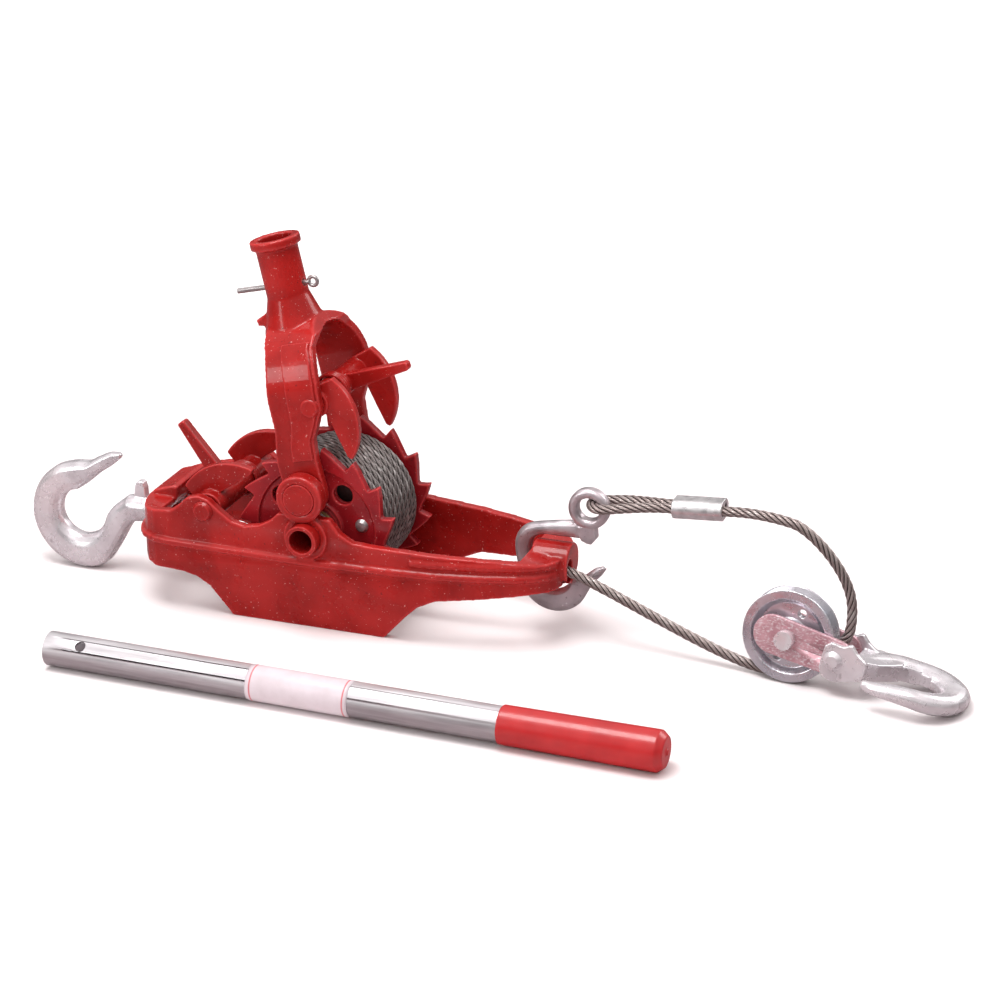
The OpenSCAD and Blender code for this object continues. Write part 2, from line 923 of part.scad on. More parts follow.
// Cheek plate: a long rounded strip that runs from behind the pin to the rivet.
module block_plate() {
    plate_r = 15.5;
    tail_u = 10.5;
    reach = norm([rivet_du + tail_u, rivet_dw + 1]);
    translate([-tail_u, 0, 1])
        rotate([0, atan2(rivet_dw + 1, rivet_du + tail_u), 0])
            difference() {
                rotate([90, 0, 0]) {
                    cylinder(r = plate_r, h = 3.4);
                    translate([reach, 0, 0])
                        cylinder(r = plate_r - 1, h = 3.4);
                    linear_extrude(3.4)
                        polygon([[0, plate_r], [reach, plate_r - 1], [reach, 1 - plate_r], [0, -plate_r]]);
                }
                translate([reach, 0, 0])
                    rod_y(rivet_r + fit, 30);
                rotate([0, -atan2(rivet_dw + 1, rivet_du + tail_u), 0])
                    translate([tail_u, 0, -1])
                        rod_y(6.02, 30);
            }
}

module block_plate_near() {
    color(zinc)
    block_axes()
        translate([0, -8.5, 0])
            block_plate();
}

module block_plate_far() {
    color(zinc)
    block_axes()
        mirror([0, 1, 0])
            translate([0, -8.5, 0])
                block_plate();
}

module hook_rivet() {
    color(zinc)
    block_axes()
        translate([rivet_du, 0, -rivet_dw]) {
            rod_y(rivet_r, 36);
            both_sides()
                translate([0, -20.8, 0])
                    rotate([-90, 0, 0])
                        cylinder(r1 = 4.5, r2 = 7.4, h = 3.2);
        }
}

// The block's hook lies nearly flat: X along the pull from the rivet, Y across, Z its thickness.
bowl_s = 66;                          // centre of the bowl's outside
throat_s = 64;                        // centre of its throat
throat_v = -3.5;
module block_hook() {
    ear_in = 12.1;
    ear_out = 17.3;
    color(zinc)
    block_axes()
        translate([rivet_du, 0, -rivet_dw])
            rotate([0, hook_pitch, 0])
                difference() {
                    union() {
                        both_sides()
                            translate([0, (ear_in - ear_out) / 2 - ear_in, 0])
                                across(ear_out - ear_in)
                                    polygon([[-9, -9], [-6, -14], [3, -16.5], [10, -14], [26, -7.5],
                                             [26, 7.5], [16, 12], [10, 16], [5, 13], [-5, 13], [-9, 9]]);
                        translate([0, 0, -block_hook_t / 2])
                            linear_extrude(block_hook_t)
                                difference() {
                                    union() {
                                        translate([bowl_s, 0])
                                            circle(r = 36.5, $fn = 96);
                                        polygon([[18, -17.3], [24, -12], [34, 0], [bowl_s, 5], [bowl_s, 36.5],
                                                 [50, 36], [34, 35.5], [24, 30], [18, 17.3]]);
                                        polygon([[66, -36.5], [44, -34.5], [33, -31.5], [29.5, -28.5],
                                                 [30, -24.5], [34, -22.5], [50, -20.5], [66, -20]]);
                                    }
                                    // gap between the point and the shank
                                    polygon([[10, -23], [29, -23.5], [40, -22], [52, -20.6], [62, -20.6],
                                             [62, 12], [50, 9.5], [42, 6], [30, -6], [22, -16], [10, -20]]);
                                }
                    }
                    translate([throat_s, throat_v, 0])
                        cylinder(r = throat_r, h = 40, center = true);
                    rod_y(rivet_r + run, 60);
                    // room for the sheave, its plates and the rope between the ears
                    translate([-20, -ear_in, -30])
                        cube([38, 2 * ear_in, 60]);
                }
}

// ---------- handle ----------

grip_r = 15.5;
module handle_axes() {
    translate([-162, handle_y, tube_r + 0.2])
        rotate([0, -0.25, -1.42])
            children();
}

module handle_tube() {
    color([0.82, 0.8, 0.82])
    handle_axes()
        difference() {
            rod_x(tube_r, 0, handle_len - 6);
            rod_x(tube_r - tube_wall, -1, handle_len);
            translate([31, 0, 0])
                rotate([-49, 0, 0])
                    rod_y(4.2, 60);
        }
}

module handle_grip() {
    color([0.8, 0.08, 0.08])
    handle_axes()
        difference() {
            union() {
                translate([handle_len - grip_len, 0, 0])
                    rotate([0, 90, 0])
                        cylinder(r1 = 14.6, r2 = grip_r, h = grip_len - 5);
                translate([handle_len - 5, 0, 0])
                    rotate([0, 90, 0])
                        cylinder(r1 = grip_r, r2 = 11.5, h = 5);
                rod_x(2.2, handle_len - 1, handle_len + 1.5);
            }
            rod_x(tube_r + 0.02, handle_len - grip_len - 1, handle_len - 5.9);
        }
}

module handle_label() {
    color([0.95, 0.9, 0.9])
    handle_axes()
        difference() {
            rod_x(tube_r + 0.25, 170, 252);
            rod_x(tube_r + 0.02, 169, 253);
        }
}

frame();
drum_axle();
axle_spacers();
lever_pivot_pins();
holding_pawl_pin();
rear_hook();
rear_hook_washer();
rear_hook_nut();
rear_hook_cotter();
drum_core();
drum_bushes();
ratchet_wheel_near();
ratchet_wheel_far();
wheel_rivets();
rope_winding();
rope_clamp_screw();
holding_pawl();
holding_pawl_spring();
lever();
drive_pawl_pin();
drive_pawl();
drive_pawl_spring();
drive_pawl_set_screw();
lever_cotter_pin();
rope_line();
ferrule();
anchor_hook();
sheave();
sheave_bush();
sheave_pin();
block_plate_near();
block_plate_far();
hook_rivet();
block_hook();
handle_tube();
handle_grip();
handle_label();
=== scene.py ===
"""Visual model of the come-along winch: cast and forged parts softened from the CAD frame,
wire rope laid from six strands, hooks built as forgings, and procedural materials."""

import bpy
import json
import math
import numpy as np
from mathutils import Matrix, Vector


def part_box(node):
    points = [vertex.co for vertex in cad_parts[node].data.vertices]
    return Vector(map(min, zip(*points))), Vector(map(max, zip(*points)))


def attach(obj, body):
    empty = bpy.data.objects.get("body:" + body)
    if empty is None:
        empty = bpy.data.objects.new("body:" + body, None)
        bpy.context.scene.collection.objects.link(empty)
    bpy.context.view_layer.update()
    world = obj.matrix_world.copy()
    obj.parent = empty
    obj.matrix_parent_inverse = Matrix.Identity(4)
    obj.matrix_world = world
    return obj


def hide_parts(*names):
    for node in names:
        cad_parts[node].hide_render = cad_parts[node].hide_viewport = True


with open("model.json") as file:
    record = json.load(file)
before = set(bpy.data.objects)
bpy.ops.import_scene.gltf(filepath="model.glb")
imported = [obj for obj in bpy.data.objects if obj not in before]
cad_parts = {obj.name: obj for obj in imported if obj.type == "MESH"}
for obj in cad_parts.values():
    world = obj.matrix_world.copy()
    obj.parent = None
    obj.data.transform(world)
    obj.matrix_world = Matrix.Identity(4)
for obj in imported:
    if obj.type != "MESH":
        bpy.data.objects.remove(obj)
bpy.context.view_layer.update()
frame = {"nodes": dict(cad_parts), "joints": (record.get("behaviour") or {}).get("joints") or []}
nodes = frame["nodes"]
joints = {j["name"]: j for j in frame["joints"]}
MM = 0.001


# ---------- materials ----------

class Graph:
    """Small helpers for wiring a node tree."""

    def __init__(self, tree):
        self.tree = tree

    def node(self, kind, **values):
        made = self.tree.nodes.new(kind)
        for key, value in values.items():
            setattr(made, key, value)
        return made

    def link(self, source, target):
        self.tree.links.new(source, target)

    def ramp(self, source, *stops):
        """A colour ramp from (position, value) stops; a value is a grey level or a colour."""
        made = self.node("ShaderNodeValToRGB")
        elements = made.color_ramp.elements
        while len(elements) < len(stops):
            elements.new(0.5)
        for element, (position, value) in zip(elements, stops):
            element.position = position
            colour = (value, value, value) if isinstance(value, (int, float)) else value
            element.color = (*colour, 1.0)
        self.link(source, made.inputs["Fac"])
        return made.outputs["Color"]

    def mix(self, a, b, factor):
        """Colour a turning into colour b as the factor rises."""
        made = self.node("ShaderNodeMix", data_type="RGBA")
        for socket, value in (("Factor", factor), ("A", a), ("B", b)):
            target = [i for i in made.inputs if i.name == socket and i.enabled][0]
            if isinstance(value, bpy.types.NodeSocket):
                self.link(value, target)
            elif isinstance(value, tuple):
                target.default_value = (*value, 1.0)
            else:
                target.default_value = value
        return [o for o in made.outputs if o.enabled][0]


class Shader(Graph):
    """One procedural material: a Principled shader with small helpers for its inputs."""

    def __init__(self, name, roughness=0.4, metallic=0.0, coat=0.0, specular=0.5):
        self.material = bpy.data.materials.new(name)
        self.material.use_nodes = True
        super().__init__(self.material.node_tree)
        self.bsdf = self.tree.nodes["Principled BSDF"]
        self.set("Roughness", roughness)
        self.set("Metallic", metallic)
        self.set("Coat Weight", coat)
        self.set("Coat Roughness", 0.07)
        self.set("Specular IOR Level", specular)
        self.coords = self.node("ShaderNodeTexCoord")

    def set(self, socket, value):
        self.bsdf.inputs[socket].default_value = value

    def feed(self, socket, source):
        self.link(source, self.bsdf.inputs[socket])

    def noise(self, scale, detail=3.0, stretch=(1, 1, 1)):
        """Noise in 0..1 with features of about 1/scale metres."""
        mapping = self.node("ShaderNodeMapping")
        mapping.inputs["Scale"].default_value = stretch
        self.link(self.coords.outputs["Object"], mapping.inputs["Vector"])
        made = self.node("ShaderNodeTexNoise")
        made.inputs["Scale"].default_value = scale
        made.inputs["Detail"].default_value = detail
        self.link(mapping.outputs["Vector"], made.inputs["Vector"])
        return made.outputs["Fac"]

    def maths(self, operation, a, b=0.0):
        """The result of one operation on numbers or sockets."""
        made = self.node("ShaderNodeMath", operation=operation)
        for i, value in enumerate((a, b)):
            if isinstance(value, bpy.types.NodeSocket):
                self.link(value, made.inputs[i])
            else:
                made.inputs[i].default_value = value
        return made.outputs["Value"]

    def bump(self, height, strength, distance_mm, under=None):
        """A bumped normal, laid over another where one is given."""
        made = self.node("ShaderNodeBump")
        made.inputs["Strength"].default_value = strength
        made.inputs["Distance"].default_value = distance_mm * MM
        self.link(height, made.inputs["Height"])
        if under is not None:
            self.link(under, made.inputs["Normal"])
        return made.outputs["Normal"]

    def uv(self):
        """The two coordinates of the mesh's own unwrapping."""
        made = self.node("ShaderNodeUVMap")
        split = self.node("ShaderNodeSeparateXYZ")
        self.link(made.outputs["UV"], split.inputs["Vector"])
        return split.outputs["X"], split.outputs["Y"]

    def pointed(self):
        return self.node("ShaderNodeNewGeometry").outputs["Pointiness"]


def red_enamel(name, deep=(0.25, 0.006, 0.005), bright=(0.40, 0.013, 0.011)):
    """Glossy enamel over a slightly rough casting, paler on the edges: mostly a painted highlight, partly
    enamel worn thin.
    """
    s = Shader(name, roughness=0.3, coat=0.34, specular=0.16)
    tone = s.ramp(s.noise(28, 4), (0.3, deep), (0.62, bright))
    # Paler on sharp edges: mostly a painted highlight, partly enamel worn thin.
    edge = s.ramp(s.pointed(), (0.505, 0.0), (0.56, 0.75))
    tone = s.mix(tone, (0.62, 0.055, 0.055), edge)
    fleck = s.ramp(s.noise(700, 2), (0.70, 0.0), (0.74, 0.8))
    tone = s.mix(tone, (0.85, 0.45, 0.42), fleck)
    pit = s.ramp(s.noise(420, 2, stretch=(1, 1.3, 0.8)), (0.26, 0.7), (0.31, 0.0))
    s.feed("Base Color", s.mix(tone, (0.10, 0.006, 0.008), pit))
    s.feed("Roughness", s.ramp(s.noise(60, 3), (0.3, 0.22), (0.7, 0.40)))
    grain = s.bump(s.noise(420, 3), 0.35, 0.25)
    s.feed("Normal", s.bump(s.noise(75, 2), 0.35, 0.7, grain))
    return s.material


def plated(name, dark, light, blush, roughness, pits, metallic):
    """Zinc-plated forging: satin metal with a rosy cast in places, fine scratches and pits, and a painted
    highlight on its edges.
    """
    s = Shader(name, metallic=metallic)
    tone = s.ramp(s.noise(45, 4), (0.3, dark), (0.7, light))
    tone = s.mix(tone, blush, s.ramp(s.noise(22, 2), (0.5, 0.0), (0.72, 0.55)))
    # Near white on sharp edges: a painted highlight.
    edge = s.ramp(s.pointed(), (0.51, 0.0), (0.57, 0.8))
    tone = s.mix(tone, (0.97, 0.96, 0.98), edge)
    pit = s.ramp(s.noise(260, 3), (0.28, pits), (0.36, 0.0))
    s.feed("Base Color", s.mix(tone, (0.22, 0.17, 0.18), pit))
    s.feed("Roughness", s.ramp(s.noise(90, 4), (0.3, roughness[0]), (0.7, roughness[1])))
    scratch = s.bump(s.noise(900, 2, stretch=(0.12, 1, 1)), 0.25, 0.12)
    s.feed("Normal", s.bump(s.noise(160, 3), 0.45, 0.35, scratch))
    return s.material


def brushed_plate():
    """The block's side plates: cut sheet with a rosy, scratched face."""
    s = Shader("brushed_plate", metallic=0.6)
    tone = s.ramp(s.noise(90, 5), (0.3, (0.52, 0.25, 0.29)), (0.7, (0.76, 0.47, 0.52)))
    line = s.ramp(s.noise(900, 4, stretch=(0.5, 1, 1)), (0.50, 0.0), (0.66, 0.8))
    s.feed("Base Color", s.mix(tone, (0.92, 0.84, 0.87), line))
    s.feed("Roughness", s.ramp(s.noise(700, 3), (0.3, 0.36), (0.7, 0.60)))
    s.feed("Normal", s.bump(s.noise(1100, 3, stretch=(0.5, 1, 1)), 0.6, 0.12))
    return s.material


def wire_rope(name, light, dark):
    """Strand surface: nine wires laid against the strand, with painted shade in the grooves between the
    wires and, towards the core, grease and painted shade where the strands meet.
    """
    wires = 9
    s = Shader(name, metallic=0.75)
    along, around = s.uv()
    turn = s.maths("MULTIPLY", s.maths("ADD", along, around), wires * math.tau)
    wave = s.maths("MULTIPLY", s.maths("ADD", s.maths("SINE", turn), 1.0), 0.5)
    # Darker on the side towards the rope's core, where the strands meet: grease, and painted shade.
    inward = s.maths("ADD", s.maths("MULTIPLY", s.maths("COSINE", s.maths("MULTIPLY", around, math.tau)),
                                    -0.5), 0.5)
    # Dark in the grooves between the wires, light on their crests: painted shade and painted highlight.
    tone = s.ramp(wave, (0.05, dark), (0.55, light))
    tone = s.mix(tone, (0.62, 0.58, 0.56), s.ramp(s.noise(120, 3), (0.55, 0.0), (0.72, 0.6)))
    s.feed("Base Color", s.mix(tone, (0.030, 0.022, 0.020), s.ramp(inward, (0.16, 0.0), (0.45, 1.0))))
    s.feed("Roughness", s.ramp(s.noise(200, 2), (0.3, 0.28), (0.7, 0.5)))
    s.feed("Normal", s.bump(wave, 0.8, 0.18))
    return s.material


def bright_tube():
    """Galvanised tube: light satin metal with fine streaks along its length."""
    s = Shader("bright_tube", metallic=0.9)
    streak = s.noise(240, 4, stretch=(0.04, 1, 1))
    tone = s.ramp(streak, (0.3, (0.50, 0.47, 0.49)), (0.65, (0.80, 0.78, 0.80)))
    cloud = s.ramp(s.noise(55, 4, stretch=(0.6, 1, 1)), (0.4, 0.0), (0.75, 0.45))
    s.feed("Base Color", s.mix(tone, (0.72, 0.67, 0.69), cloud))
    s.feed("Roughness", s.ramp(s.noise(150, 3, stretch=(0.2, 1, 1)), (0.3, 0.38), (0.7, 0.58)))
    s.feed("Normal", s.bump(streak, 0.35, 0.12))
    return s.material


def red_vinyl():
    """Dipped vinyl grip with a soft sheen and faint orange peel."""
    s = Shader("red_vinyl", roughness=0.34, coat=0.25)
    s.feed("Base Color", s.ramp(s.noise(40, 3), (0.3, (0.42, 0.010, 0.012)), (0.7, (0.54, 0.018, 0.020))))
    s.feed("Roughness", s.ramp(s.noise(120, 2), (0.3, 0.28), (0.7, 0.40)))
    s.feed("Normal", s.bump(s.noise(500, 2), 0.25, 0.15))
    return s.material


def label_paper():
    """Blank pale label with a thin red border, a little soiled."""
    s = Shader("label_paper", roughness=0.42, coat=0.2)
    along, _ = s.uv()
    edge = s.maths("MINIMUM", along, s.maths("SUBTRACT", 1.0, along))
    line = s.ramp(edge, (0.035, 0.0), (0.040, 1.0), (0.050, 1.0), (0.055, 0.0))
    paper = s.ramp(s.noise(60, 4), (0.3, (0.62, 0.53, 0.56)), (0.7, (0.72, 0.63, 0.67)))
    s.feed("Base Color", s.mix(paper, (0.62, 0.16, 0.18), line))
    s.feed("Normal", s.bump(s.noise(300, 3), 0.15, 0.1))
    return s.material


def plain_metal(name, colour, roughness):
    """Bare metal, a little uneven in tone and sheen."""
    s = Shader(name, metallic=0.9)
    darker = tuple(0.7 * c for c in colour)
    s.feed("Base Color", s.ramp(s.noise(150, 3), (0.3, darker), (0.7, colour)))
    s.feed("Roughness", s.ramp(s.noise(200, 3), (0.3, roughness), (0.7, roughness + 0.18)))
    s.feed("Normal", s.bump(s.noise(400, 2), 0.3, 0.12))
    return s.material


ENAMEL = red_enamel("red_enamel")
# A darker copy of the enamel for the drum and ratchet wheels: painted shade for their place between the
# frame's walls.
ENAMEL_DRUM_SHADED = red_enamel("drum_enamel", deep=(0.20, 0.005, 0.009), bright=(0.35, 0.012, 0.017))
ZINC = plated("zinc_plate", (0.68, 0.64, 0.67), (0.93, 0.89, 0.92), (0.90, 0.79, 0.81),
              roughness=(0.20, 0.36), pits=0.35, metallic=0.64)
ZINC_BLOCK = plated("sheave_plate", (0.48, 0.50, 0.56), (0.80, 0.81, 0.87), (0.76, 0.70, 0.74),
                    roughness=(0.20, 0.36), pits=0.2, metallic=0.8)
FORGED = plated("forged_grey", (0.40, 0.36, 0.38), (0.74, 0.69, 0.72), (0.62, 0.48, 0.50),
                roughness=(0.28, 0.48), pits=0.6, metallic=0.8)
PLATE = brushed_plate()
ROPE = wire_rope("wire_rope", (0.50, 0.42, 0.40), (0.14, 0.10, 0.095))
# A darker copy of the rope for the winding on the drum: painted shade for its place inside the frame.
ROPE_DRUM_SHADED = wire_rope("drum_rope_shaded", (0.34, 0.30, 0.29), (0.06, 0.048, 0.046))
ALUMINIUM = plain_metal("pressed_aluminium", (0.93, 0.91, 0.92), 0.26)
STEEL = plain_metal("bare_steel", (0.52, 0.48, 0.48), 0.34)
BRONZE = plain_metal("oiled_bronze", (0.62, 0.44, 0.20), 0.3)
TUBE = bright_tube()
VINYL = red_vinyl()
PAPER = label_paper()
# Near black: painted shade for the rope's inner turns on the drum.
CORE_SHADE = plain_metal("rope_core_shade", (0.10, 0.08, 0.075), 0.6)


# ---------- building helpers ----------

def paint(obj, material):
    obj.data.materials.clear()
    obj.data.materials.append(material)


def shade_smooth(obj):
    obj.data.polygons.foreach_set("use_smooth", [True] * len(obj.data.polygons))


def skin(obj, voxel_mm, passes):
    """A voxel skin that welds closed shells together, its corners melted into small fillets."""
    remesh = obj.modifiers.new("skin", "REMESH")
    remesh.mode = "VOXEL"
    remesh.voxel_size = voxel_mm * MM
    remesh.use_smooth_shade = True
    relax = obj.modifiers.new("fillet", "SMOOTH")
    relax.factor = 0.5
    relax.iterations = passes


def cast(node, material, voxel_mm, passes):
    """A CAD node as a casting with soft corners."""
    obj = nodes[node]
    paint(obj, material)
    shade_smooth(obj)
    skin(obj, voxel_mm, passes)


def machined(node, material, edge_mm):
    """A CAD node as a turned or cut part: crisp faces with a small bright edge."""
    obj = nodes[node]
    paint(obj, material)
    shade_smooth(obj)
    weld = obj.modifiers.new("weld", "WELD")
    weld.merge_threshold = 0.002 * MM
    bevel = obj.modifiers.new("edge", "BEVEL")
    bevel.width = edge_mm * MM
    bevel.segments = 3
    bevel.limit_method = "ANGLE"
    bevel.angle_limit = math.radians(38)
    bevel.harden_normals = True


def piece(name, verts, faces, material, body, replaced=(), uvs=None):
    """A new mesh piece that rides on a body; vertices are in millimetres."""
    mesh = bpy.data.meshes.new(name)
    mesh.from_pydata([tuple(v) for v in np.asarray(verts, float) * MM], [], [tuple(f) for f in faces])
    mesh.update()
    obj = bpy.data.objects.new(name, mesh)
    bpy.context.scene.collection.objects.link(obj)
    paint(obj, material)
    shade_smooth(obj)
    if uvs is not None:
        layer = mesh.uv_layers.new(name="UVMap")
        flat = np.array([uv for face in uvs for uv in face], float)
        layer.data.foreach_set("uv", flat.ravel())
    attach(obj, body)
    if replaced:
        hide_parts(*replaced)
    return obj


def quads(ring, rows, base=0, closed=False):
    """Faces between neighbouring rings of vertices, each ring listed in the same order."""
    return [(base + i * ring + k, base + i * ring + (k + 1) % ring,
             base + (i + 1) % rows * ring + (k + 1) % ring, base + (i + 1) % rows * ring + k)
            for i in range(rows if closed else rows - 1) for k in range(ring)]


def caps(ring, rows):
    """The two end faces of a stack of rings."""
    return [tuple(range(ring))[::-1], tuple((rows - 1) * ring + k for k in range(ring))]


def unit(v):
    return v / np.linalg.norm(v, axis=-1, keepdims=True)


def resample(points, step):
    """The same path with points a fixed distance apart, rounded through its corners."""
    points = np.array(points, float)
    for _ in range(2):
        ends = points[0], points[-1]
        cut = np.empty((2 * len(points) - 2, 3))
        cut[0::2] = 0.75 * points[:-1] + 0.25 * points[1:]
        cut[1::2] = 0.25 * points[:-1] + 0.75 * points[1:]
        points = np.vstack([ends[0], cut, ends[1]])
    gaps = np.linalg.norm(np.diff(points, axis=0), axis=1)
    along = np.concatenate([[0], np.cumsum(gaps)])
    wanted = np.linspace(0, along[-1], int(along[-1] / step) + 2)
    return np.stack([np.interp(wanted, along, points[:, i]) for i in range(3)], axis=1)


def carried_frames(points, closed=False):
    """Tangents and a sideways vector carried along the path without twist."""
    if closed:
        tangents = unit(np.roll(points, -1, 0) - np.roll(points, 1, 0))
    else:
        tangents = unit(np.gradient(points, axis=0))
    side = np.cross(tangents[0], [0.02, 1.0, 0.01])
    sides = []
    for t in tangents:
        side = unit(side - np.dot(side, t) * t)
        sides.append(side)
    return tangents, np.array(sides)


def strands(path, radius, lay, closed=False, phase=0.0):
    """Six round strands laid right-handed round a path: vertices, faces and UVs."""
    count, ring = 6, 8
    tangents, sides = carried_frames(path, closed)
    across = np.cross(tangents, sides)
    gaps = np.linalg.norm(np.diff(path, axis=0), axis=1)
    along = np.concatenate([[0], np.cumsum(gaps)])
    strand_r = radius * 0.345             # a little over a third, so that the strands touch
    centre_r = radius - strand_r
    wire_lay = lay * 0.55                 # length over which a wire goes once round its strand
    rows = len(path)
    verts, faces, uvs = [], [], []
    for k in range(count):
        turn = math.tau * (along / lay + k / count + phase)
        outward = np.cos(turn)[:, None] * sides + np.sin(turn)[:, None] * across
        centre = path + centre_r * outward
        direction = unit(np.gradient(centre, axis=0))
        if closed:
            direction = unit(np.roll(centre, -1, 0) - np.roll(centre, 1, 0))
        beside = unit(np.cross(direction, outward))
        base = len(verts) * ring
        for i in range(rows):
            angles = math.tau * np.arange(ring) / ring
            verts.append(centre[i] + strand_r * (np.cos(angles)[:, None] * outward[i]
                                                 + np.sin(angles)[:, None] * beside[i]))
        faces += quads(ring, rows, base, closed)
        for i in range(rows if closed else rows - 1):
            u0 = along[i] / wire_lay
            u1 = (along[i] + gaps[min(i, len(gaps) - 1)]) / wire_lay
            for m in range(ring):
                v0, v1 = m / ring, (m + 1) / ring
                uvs.append(((u0, v0), (u0, v1), (u1, v1), (u1, v0)))
        if not closed:
            for end in (0, rows - 1):
                face = tuple(base + end * ring + m for m in range(ring))
                faces.append(face if end else face[::-1])
                uvs.append(tuple((0.0, 0.5) for _ in range(ring)))
    return np.concatenate(verts), faces, uvs


def bezier(a, b, c, d, steps):
    """Points along a cubic curve, without its first point."""
    a, b, c, d = (np.array(p, float) for p in (a, b, c, d))
    t = (np.arange(1, steps + 1) / steps)[:, None]
    return list((1 - t) ** 3 * a + 3 * (1 - t) ** 2 * t * b + 3 * (1 - t) * t * t * c + t ** 3 * d)


# ---------- wire rope ----------

ROPE_R = 4.0
LAY = 40.0                                # rope length in which a strand goes once round
WRAP_R = 31.0                             # rope centre on the sheave
ARRIVE, LEAVE = -103, -17                 # where the rope meets and leaves the sheave, in degrees
axle = np.array(joints["drum_spin"]["pos_m"]) / MM
sheave = np.array(joints["sheave_spin"]["pos_m"]) / MM
sheave_axis = -np.array(joints["sheave_spin"]["axis"])
block_x = unit(np.cross(sheave_axis, [0.0, 0.0, 1.0]))
block_z = np.cross(block_x, sheave_axis)
eye = np.array(joints["anchor_hook_rock"]["pos_m"]) / MM
winding_low, winding_high = (np.array(v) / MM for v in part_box("rope_winding"))
winding_r = (winding_high[0] - winding_low[0]) / 2 - ROPE_R
turns = round((winding_high[1] - winding_low[1]) / (2 * ROPE_R))


def on_block(u, w):
    """A point in the block's own plane, from the sheave's centre."""
    return sheave + u * block_x + w * block_z


def on_sheave(degrees):
    """A point of the rope's centre line on the sheave."""
    a = math.radians(degrees)
    return on_block(WRAP_R * math.cos(a), WRAP_R * math.sin(a))


def rope_path():
    """The working rope: drum, nose, sheave, back through the ferrule, round the eye and back."""
    rope_y = -6.0
    rise = math.tan(math.radians(12.5))
    slope = np.array([1, 0, rise])
    lay_r = winding_r + 8.4
    below = math.atan(rise)
    start = np.array([lay_r * math.sin(below), rope_y, axle[2] - lay_r * math.cos(below)])
    nose_in = start + (167 - start[0]) * slope
    nose_out = np.array([190, rope_y - 0.2, 59.4])
    leave = math.radians(LEAVE)
    leaving = math.cos(leave) * block_z - math.sin(leave) * block_x
    # The slack loop above the block: its widest point, its crest and its way into the ferrule.
    bulge = on_block(45.6, 28.6)
    crest = np.array([371, -10, 123.4])
    ferrule_in = np.array([315, -2.2, 122.4])
    ferrule_out = np.array([276.5, -2.2, 119.6])
    gap = np.array([0, 8.3, 0])           # from the live rope to its tail inside the ferrule
    bend_r = 10.6
    bend = eye + np.array([1.6 + bend_r, 0, 4.1])
    bend_in, bend_out = bend + [0, -bend_r, 0], bend + [0, bend_r, 0]
    tail = ferrule_out + gap
    path = [start]
    path += bezier(nose_in, nose_in + 12 * slope, nose_out - [8, 0, -1.2], nose_out, 6)
    path += bezier(nose_out, [240, -8.5, 45], [340, -13, -5], on_sheave(ARRIVE), 14)
    path += [on_sheave(a) for a in range(ARRIVE + 7, LEAVE - 1, 7)]
    path += [on_sheave(LEAVE)]
    path += bezier(path[-1], path[-1] + 15.5 * leaving, on_block(48.9, -8.2), bulge, 10)
    path += bezier(bulge, on_block(43.1, 56.3), crest + [13.1, -1.7, -2], crest, 10)
    path += bezier(crest, crest + [-19, 2.5, 2.8], ferrule_in + [18, -2, 3.2], ferrule_in, 6)
    path += [ferrule_out]
    path += bezier(ferrule_out, ferrule_out + [-20, 0, -1], bend + [20, -bend_r, 4], bend_in, 7)
    path += [bend + bend_r * np.array([math.cos(a), math.sin(a), 0])
             for a in np.radians(range(-105, -256, -15))]
    path += [bend_out]
    path += bezier(bend_out, bend + [20, bend_r, 4], tail + [-20, 0, -1], tail, 7)
    path += [ferrule_in + gap + [-1, 0, 0]]
    return resample(path, 1.3)


def build_rope():
    """The rope from the drum through the nose, round the sheave and back to the anchor hook."""
    verts, faces, uvs = strands(rope_path(), ROPE_R, LAY)
    piece("rope_strands", verts, faces, ROPE, "frame", ["rope_line"], uvs)


def build_winding():
    """The outer layer of rope on the drum, one closed turn of six strands per groove."""
    circumference = math.tau * winding_r
    lay = circumference / round(circumference / LAY)
    steps = int(circumference / 1.5)
    all_verts, all_faces, all_uvs = [], [], []
    for i in range(turns):
        a = math.tau * np.arange(steps) / steps
        y = (2 * i + 1 - turns) * ROPE_R
        ring = np.stack([winding_r * np.cos(a), np.full(steps, y), axle[2] + winding_r * np.sin(a)],
                        axis=1)
        verts, faces, uvs = strands(ring, ROPE_R - 0.02, lay, closed=True, phase=0.37 * i)
        offset = sum(len(v) for v in all_verts)
        all_verts.append(verts)
        all_faces += [tuple(offset + n for n in f) for f in faces]
        all_uvs += uvs
    # The winding wears the darker rope: painted shade.
    piece("winding_strands", np.concatenate(all_verts), all_faces, ROPE_DRUM_SHADED, "drum",
          ["rope_winding"], all_uvs)


def build_winding_core():
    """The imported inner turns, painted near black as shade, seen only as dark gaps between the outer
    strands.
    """
    half = turns * ROPE_R - 0.3
    outer, inner = winding_r - 1, winding_r - 26
    steps, ring = 80, 96
    profile = [(-half, inner), (-half, outer)]
    for i in range(1, steps):
        profile.append((-half + 2 * half * i / steps, outer + 0.4 * math.sin(math.tau * turns * i / steps)))
    profile += [(half, outer), (half, inner)]
    verts = [(r * math.cos(math.tau * k / ring), y, axle[2] + r * math.sin(math.tau * k / ring))
             for y, r in profile for k in range(ring)]
    faces = [face[::-1] for face in quads(ring, len(profile), closed=True)]
    piece("winding_core", verts, faces, CORE_SHADE, "drum")


